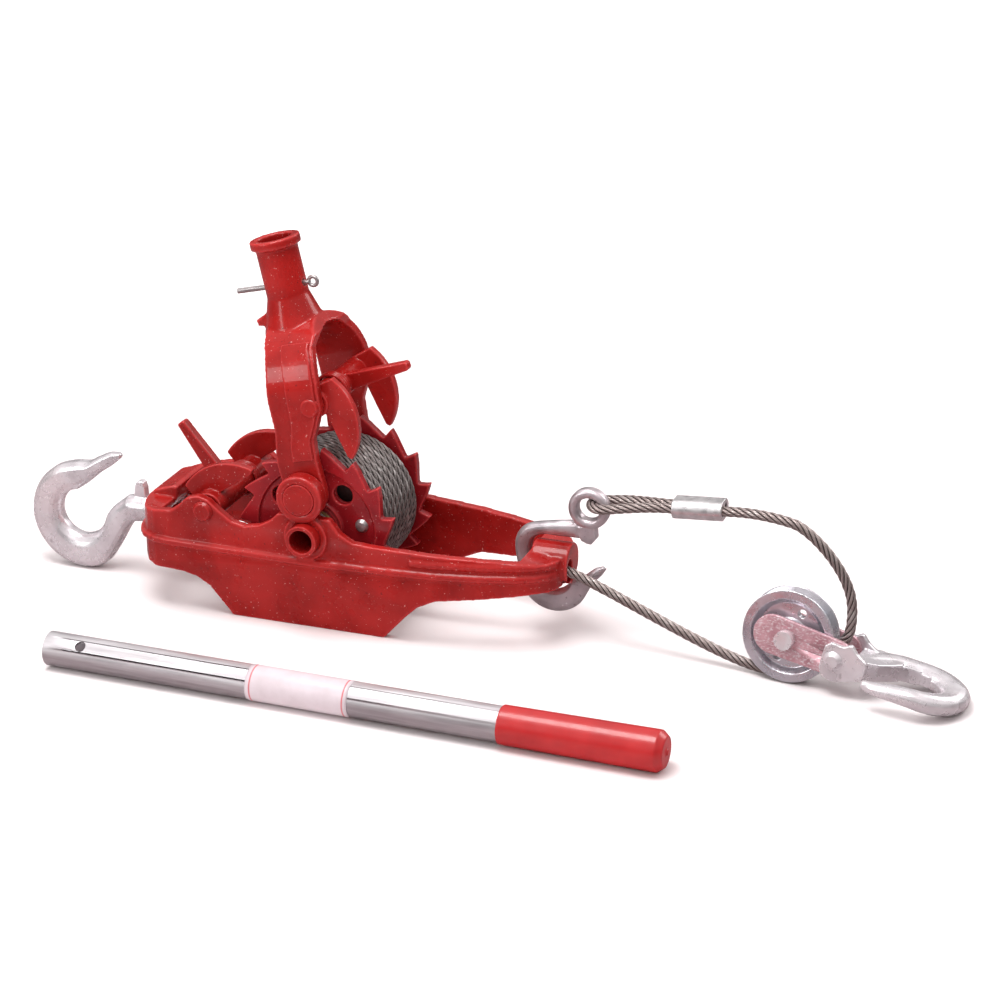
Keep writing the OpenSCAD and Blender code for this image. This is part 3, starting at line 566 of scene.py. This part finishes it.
def build_label():
    """The paper label wrapped round the handle, with a plain border and nothing printed on it."""
    points = np.array([v.co for v in nodes["handle_label"].data.vertices]) / MM
    centre = points.mean(0)
    direction = unit(np.linalg.svd(points - centre)[2][0])
    direction = direction * np.sign(direction[0])
    reach = (points - centre) @ direction
    length = reach.max() - reach.min()
    radius = np.linalg.norm(points - centre - reach[:, None] * direction, axis=1).max() - 0.01
    side = unit(np.cross(direction, [0.0, 0.0, 1.0]))
    top = np.cross(side, direction)
    ring, rows = 72, 24
    start = centre + direction * reach.min()
    verts, faces, uvs = [], [], []
    for layer in (radius, radius - 0.2):
        for i in range(rows + 1):
            for k in range(ring):
                a = math.tau * k / ring
                outward = math.cos(a) * side + math.sin(a) * top
                verts.append(start + direction * length * i / rows + layer * outward)
    inner = (rows + 1) * ring
    for i in range(rows):
        for k in range(ring):
            n = (k + 1) % ring
            quad = (i * ring + k, i * ring + n, (i + 1) * ring + n, (i + 1) * ring + k)
            faces += [quad, tuple(inner + q for q in reversed(quad))]
            u0, u1 = i / rows, (i + 1) / rows
            uvs += [((u0, 0.5), (u0, 0.5), (u1, 0.5), (u1, 0.5)),
                    ((u1, 0.5), (u1, 0.5), (u0, 0.5), (u0, 0.5))]
    for row, order in ((0, -1), (rows, 1)):
        for k in range(ring):
            n = (k + 1) % ring
            quad = (row * ring + k, row * ring + n, inner + row * ring + n, inner + row * ring + k)[::order]
            faces.append(quad)
            uvs.append(((row / rows, 0.5),) * 4)
    piece("label_sheet", verts, faces, PAPER, "handle", ["handle_label"], uvs)


build_rope()
build_winding()
build_winding_core()
build_label()


# ---------- forged hooks ----------

# Half of a forging's section, from the inner edge to the outer: (place across, share of thickness).
BEVELLED = [(-1.0, 0.30), (-0.86, 0.58), (-0.62, 0.86), (-0.36, 0.99),
            (0.1, 1.0), (0.55, 0.98), (0.84, 0.78), (1.0, 0.36)]
ROUNDED = [(-1.0, 0.28), (-0.88, 0.62), (-0.62, 0.88), (-0.25, 0.99),
           (0.15, 1.0), (0.55, 0.90), (0.84, 0.64), (1.0, 0.26)]


def smooth_rows(rows, steps):
    """Catmull-Rom rows between the given rows."""
    rows = np.array(rows, float)
    padded = np.vstack([2 * rows[0] - rows[1], rows, 2 * rows[-1] - rows[-2]])
    out = []
    for i in range(1, len(padded) - 2):
        a, b, c, d = padded[i - 1:i + 3]
        for t in np.arange(steps) / steps:
            out.append(0.5 * (2 * b + (c - a) * t + (2 * a - 5 * b + 4 * c - d) * t * t
                              + (3 * b - a - 3 * c + d) * t ** 3))
    out.append(rows[-1])
    return np.array(out)


def arc_rows(inner, outer, angles, thickness):
    """Rows round a bowl between two circles (x, y, radius), with one thickness for each angle."""
    rows = []
    for a, t in zip(angles, thickness):
        c, s = math.cos(math.radians(a)), math.sin(math.radians(a))
        rows.append((inner[0] + inner[2] * c, inner[1] + inner[2] * s,
                     outer[0] + outer[2] * c, outer[1] + outer[2] * s, t))
    return rows


class Shells:
    """Closed shells gathered in one mesh; a voxel skin then welds them into one forging."""

    def __init__(self, place):
        self.place = place
        self.verts = []
        self.faces = []

    def add(self, verts, faces):
        base = len(self.verts)
        self.verts += [tuple(v) for v in verts]
        self.faces += [tuple(base + n for n in f) for f in faces]

    def bar(self, rows, section):
        """A forged bar through rows of (inner x, y, outer x, y, thickness, lift out of the plane)."""
        rows = smooth_rows([tuple(row) + (0.0,) * (6 - len(row)) for row in rows], 5)
        ring = [(s, t) for s, t in section] + [(s, -t) for s, t in reversed(section)]
        first, last = rows[0], rows[-1]
        ends = []
        for row, nearby, order in ((first, rows[1], -1), (last, rows[-2], 1)):
            centre = (row[0:2] + row[2:4]) / 2
            away = unit(centre - (nearby[0:2] + nearby[2:4]) / 2)
            reach = min(np.linalg.norm(row[2:4] - row[0:2]), row[4]) / 2
            end = []
            for a in np.radians((35, 62, 82)):
                shift = away * reach * math.sin(a)
                half = (row[2:4] - row[0:2]) / 2 * math.cos(a)
                end.append(np.concatenate([centre + shift - half, centre + shift + half,
                                           [row[4] * math.cos(a), row[5]]]))
            ends.append(end[::order])
        rows = np.vstack([ends[0], rows, ends[1]])
        verts = []
        for row in rows:
            centre, half = (row[0:2] + row[2:4]) / 2, (row[2:4] - row[0:2]) / 2
            for across, share in ring:
                verts.append((*(centre + across * half), share * row[4] / 2 + row[5]))
        self.add(verts, quads(len(ring), len(rows)) + caps(len(ring), len(rows)))

    def slab(self, outline, low, high):
        """An outline in the hook's plane, extruded between two heights across it."""
        verts = [(x, y, low) for x, y in outline] + [(x, y, high) for x, y in outline]
        self.add(verts, caps(len(outline), 2) + quads(len(outline), 2))

    def turned(self, profile, y, z):
        """A solid of revolution about the x axis, through (x, radius) points."""
        ring = 40
        verts = [(x, y + r * math.cos(math.tau * k / ring), z + r * math.sin(math.tau * k / ring))
                 for x, r in profile for k in range(ring)]
        self.add(verts, quads(ring, len(profile)) + caps(ring, len(profile)))

    def finish(self, name, material, body, replaced, voxel_mm, passes):
        """The gathered shells as one piece under a voxel skin."""
        verts = [self.place(*v) for v in self.verts]
        skin(piece(name, verts, self.faces, material, body, replaced), voxel_mm, passes)


def build_rear_hook():
    """Swivel hook: a wide flat bowl with a bevelled throat, a short latch lug and a round neck."""
    swivel = np.array(joints["rear_hook_swivel"]["pos_m"]) / MM
    hook = Shells(lambda x, z, y: (x, y, z))
    rows = [(-190.6, 98.2, -192.2, 103.3, 8), (-198, 91.8, -200, 102.6, 12), (-208, 84.8, -211, 97.2, 16),
            (-218, 76, -219, 93, 19)]
    rows += arc_rows((-226, 48.5, 20), (-225, 46, 46), range(98, 279, 20), (20, 20.6) + (21,) * 8)
    rows += [(-214.5, 32.2, -206, 6.5, 21), (-207.5, 39.5, -197.2, 18.2, 21), (-203, 50, -190, 30, 20.5),
             (-196, 58.3, -184, 40.5, 20), (-187, 65.2, -178.5, 46.5, 20), (-180, 68.4, -173, 47.2, 20.5)]
    hook.bar(rows, BEVELLED)
    latch_lug = [(-178.5, 62), (-177.2, 76), (-175.4, 81), (-172.6, 82.6), (-169.6, 81.6), (-168, 77),
                 (-167, 64)]
    hook.slab(latch_lug, -4, 4)
    neck = [(-188, 7), (-184, 10), (-178, 11), (-168, 11), (-160, 10.4), (-153.8, 10.4), (-153.7, 9.5),
            (-112, 9.5)]
    hook.turned(neck, swivel[2], swivel[1])
    hook.finish("rear_hook_forging", ZINC, "rear_hook", ["rear_hook"], 0.7, 4)


def build_anchor_hook():
    """Plain forged hook over the nose: a long bowl drawn out to a point, a flat bar and an eye."""
    hook = Shells(lambda x, z, y: (x, eye[1] + y, z))
    rows = [(217, 59.6, 221.2, 57.6, 4), (212, 57.4, 217.6, 52.2, 7), (203, 50, 211, 45, 9.5)]
    rows += arc_rows((178, 53, 17.2), (180, 46, 28.2), range(-20, -181, -20), (11,) + (11.5,) * 8)
    rows += [(160.8, 62, 148.6, 60, 11.5), (161, 71, 147.6, 72, 11.5), (164.5, 78.4, 151, 82, 11.5),
             (172, 81.8, 160, 89, 11.5), (184, 81.8, 180, 93.4, 11.5), (200, 82, 197, 96, 11.5)]
    hook.bar(rows, ROUNDED)
    neck = [(196, 92), (202.5, 81.4), (207, 79.4), (210.5, 79.2), (213.6, 83), (213, 93)]
    hook.slab(neck, -5.2, 5.2)
    # The eye: a ring of round section, pulled wider through its middle.
    ring_r, rim, widen = 12.6, 3.9, 1.9
    count, around = 72, 20
    verts = []
    for i in range(count):
        a = math.tau * i / count
        for k in range(around):
            b = math.tau * k / around
            wide = widen if math.sin(b) > 0 else -widen
            r = ring_r + rim * math.cos(b)
            verts.append((eye[0] + r * math.cos(a), eye[2] + r * math.sin(a), wide + rim * math.sin(b)))
    hook.add(verts, quads(around, count, closed=True))
    hook.finish("anchor_hook_forging", FORGED, "anchor_hook", ["anchor_hook"], 0.5, 3)


def build_block_hook():
    """Hook of the snatch block, lying nearly flat: two ears, a diagonal shank and a deep bowl."""
    rivet = np.array(joints["block_hook_swing"]["pos_m"]) / MM
    pitch = math.radians(12)
    along = math.cos(pitch) * block_x - math.sin(pitch) * block_z
    up = math.sin(pitch) * block_x + math.cos(pitch) * block_z
    hook = Shells(lambda s, v, n: rivet + s * along + v * sheave_axis + n * up)
    rows = [(29.5, -25.8, 29.8, -31.0, 7, -4.2), (37, -23, 36.5, -34, 9, -3.6),
            (50, -20.8, 50, -35.8, 11.5, -1.6)]
    rows += arc_rows((64, -3.5, 17), (66, 0.5, 36.5), range(-90, 91, 20), (13.5, 14.5) + (15,) * 8)
    rows += [(56, 12.4, 52, 35.4, 15), (47, 9.2, 39, 33, 15), (39, 3.5, 29, 27.5, 15),
             (30, -6, 22.5, 21, 15), (24, -12.5, 19.5, 17, 14.5), (21, -15, 17, 15.5, 14)]
    hook.bar(rows, ROUNDED)
    # The shank, in three steps that grow thinner towards the bowl.
    hook.slab([(14, -17.2), (22, -15.6), (33, -8.5), (41, 1), (46, 8.5), (46, 22), (26, 22), (14, 17.2)],
              -7, 7)
    hook.slab([(40, -0.5), (46, 8), (52, 11.5), (60, 13), (60, 20), (46, 22), (40, 22)], -6, 6)
    hook.slab([(54, 12), (60, 12.8), (68, 12.6), (68, 20), (54, 20)], -4.5, 4.5)
    ear_side = [(-9, -9), (-6, -14), (3, -16.3), (10, -14), (25, -7), (25, 7), (16, 11.5), (11, 16),
                (9, 16.3), (5, 13), (-5, 13), (-9, 9)]
    for low, high in ((-17.2, -12.2), (12.2, 17.2)):
        ear = Shells(None)
        ear.slab(ear_side, low, high)
        hook.add([(x, y, z) for x, z, y in ear.verts], ear.faces)
    hook.finish("block_hook_forging", ZINC, "block_hook", ["block_hook"], 0.5, 12)


def build_lever_bands():
    """Raised front band down each arm of the lever, round into its arch."""
    fulcrum = np.array(joints["lever_swing"]["pos_m"]) / MM
    lean = math.radians(13.1)
    arch_w, arch_r = 75, 53
    sunk_r, raised_r = 51.5, 55.0
    bevel = 1.2
    # The band's front and rear edges, from the arm's line through the fulcrum, at these heights.
    heights = (27, 42, 53, 66, 87, 101, 110, 118, 124)
    fronts = (15.2, 16.6, 22.6, 28.8, 29.8, 28.4, 26.4, 27.4, 22)
    rears = (-4, -2, 2, 3, 4, 3, 2, 1, 0)
    stations = [(0.0, w) for w in np.arange(27, arch_w, 4)]
    stations += [(math.radians(a), arch_w) for a in range(0, 49, 4)]
    for side, name in ((-1, "near"), (1, "far")):
        band = Shells(lambda u, y, w: (fulcrum[0] + u * math.cos(lean) - w * math.sin(lean), y,
                                       fulcrum[2] + u * math.sin(lean) + w * math.cos(lean)))
        verts = []
        for angle, base in stations:
            height = base + arch_r * math.sin(angle)
            front, rear = np.interp(height, heights, fronts), np.interp(height, heights, rears)
            section = ((rear, sunk_r), (rear + bevel, raised_r), (front - bevel, raised_r), (front, sunk_r))
            for u, r in section:
                verts.append((u, side * r * math.cos(angle), base + r * math.sin(angle)))
        band.add(verts, quads(4, len(stations)) + caps(4, len(stations)))
        band.finish(f"lever_band_{name}", ENAMEL, "lever", [], 0.6, 3)


build_rear_hook()
build_anchor_hook()
build_block_hook()
build_lever_bands()


# ---------- castings and fittings ----------

for name in ("frame", "lever"):
    cast(name, ENAMEL, 1.1, 4)
for name in ("holding_pawl", "drive_pawl"):
    cast(name, ENAMEL, 0.7, 3)
# The drum and its ratchet wheels wear the darker enamel: painted shade.
for name in ("ratchet_wheel_near", "ratchet_wheel_far", "drum_core"):
    cast(name, ENAMEL_DRUM_SHADED, 0.8, 3)
for name in ("drum_axle", "lever_pivot_pins", "holding_pawl_pin", "drive_pawl_pin"):
    cast(name, ENAMEL, 0.6, 3)
for name in ("holding_pawl_spring", "drive_pawl_spring"):
    cast(name, ENAMEL, 0.35, 2)
cast("sheave", ZINC_BLOCK, 0.5, 3)
for name in ("sheave_pin", "hook_rivet", "rear_hook_washer", "rear_hook_nut", "axle_spacers"):
    machined(name, ZINC, 0.7)
for name in ("block_plate_near", "block_plate_far"):
    machined(name, PLATE, 0.6)
for name in ("wheel_rivets", "rope_clamp_screw", "drive_pawl_set_screw", "rear_hook_cotter"):
    machined(name, STEEL, 0.4)
cast("lever_cotter_pin", STEEL, 0.35, 2)
for name in ("drum_bushes", "sheave_bush"):
    machined(name, BRONZE, 0.4)
cast("ferrule", ALUMINIUM, 0.5, 4)
machined("handle_tube", TUBE, 0.5)
cast("handle_grip", VINYL, 0.7, 4)


# ---------- studio ----------

def floor():
    """A pale sheet, far wider than the work."""
    half = 3.0
    mesh = bpy.data.meshes.new("studio_floor")
    mesh.from_pydata([(-half, -half, 0), (half, -half, 0), (half, half, 0), (-half, half, 0)],
                     [], [(0, 1, 2, 3)])
    obj = bpy.data.objects.new("studio_floor", mesh)
    bpy.context.scene.collection.objects.link(obj)
    s = Shader("studio_floor", roughness=0.6, specular=0.2)
    sheet = s.ramp(s.noise(3, 2), (0.3, (0.95, 0.89, 0.89)), (0.7, (0.96, 0.91, 0.91)))
    rays = s.node("ShaderNodeLightPath")
    # Paint and metal see a dimmer sheet, which keeps their sides deep in tone.
    s.feed("Base Color", s.mix(sheet, (0.26, 0.20, 0.21), rays.outputs["Is Glossy Ray"]))
    # Far from the work the sheet burns out to plain white, as a lit backdrop does.
    distance = s.node("ShaderNodeVectorMath", operation="LENGTH")
    s.link(s.coords.outputs["Object"], distance.inputs[0])
    far = s.ramp(s.maths("MULTIPLY", distance.outputs["Value"], 0.5), (0.30, 0.0), (0.75, 1.0))
    s.set("Emission Color", (1.0, 0.99, 0.99, 1.0))
    s.feed("Emission Strength", s.maths("MULTIPLY", far, rays.outputs["Is Camera Ray"]))
    paint(obj, s.material)


def area_light(name, place, size, power):
    """A softbox turned towards the middle of the work."""
    centre = Vector((0.12, 0.0, 0.08))
    data = bpy.data.lights.new(name, "AREA")
    data.shape = "RECTANGLE"
    data.size, data.size_y = size
    data.energy = power
    obj = bpy.data.objects.new(name, data)
    obj.location = place
    obj.rotation_euler = (centre - Vector(place)).to_track_quat("-Z", "Y").to_euler()
    bpy.context.scene.collection.objects.link(obj)


def studio():
    """The sheet, three softboxes, and the air that the metal reflects."""
    floor()
    area_light("key_overhead", (-0.1, -0.35, 1.6), (0.9, 0.7), 20)
    area_light("front_left", (-1.2, -1.5, 0.9), (0.7, 0.7), 10)
    area_light("back_right", (1.2, 1.3, 1.0), (0.9, 0.6), 9)
    world = bpy.data.worlds.new("studio_air")
    world.use_nodes = True
    air = Graph(world.node_tree)
    background = air.tree.nodes["Background"]
    # The air is bright overhead and dimmer low down, so that metal has something to reflect.
    split = air.node("ShaderNodeSeparateXYZ")
    air.link(air.node("ShaderNodeTexCoord").outputs["Generated"], split.inputs["Vector"])
    levels = ((0.0, 0.06), (0.18, 0.12), (0.45, 0.50), (0.85, 0.85))
    sky = air.ramp(split.outputs["Z"], *[(height, (level, 0.95 * level, 0.95 * level))
                                         for height, level in levels])
    seen = air.node("ShaderNodeLightPath").outputs["Is Camera Ray"]
    air.link(air.mix(sky, (1.0, 1.0, 1.0), seen), background.inputs["Color"])
    background.inputs["Strength"].default_value = 1.1
    bpy.context.scene.world = world
    bpy.context.scene.view_settings.view_transform = "Standard"


def camera():
    """Longer lens from the front right, a little above the work."""
    azimuth, elevation, distance = 19.69, 21.96, 2.10378
    target = Vector((0.1366, 0.0, 0.10674))
    a, e = math.radians(azimuth), math.radians(elevation)
    back = Vector((math.sin(a) * math.cos(e), -math.cos(a) * math.cos(e), math.sin(e)))
    data = bpy.data.cameras.new("camera")
    data.lens = 98.05
    data.sensor_width = 36.0
    obj = bpy.data.objects.new("camera", data)
    obj.location = target + back * distance
    obj.rotation_euler = (-back).to_track_quat("-Z", "Y").to_euler()
    bpy.context.scene.collection.objects.link(obj)
    bpy.context.scene.camera = obj


studio()
camera()
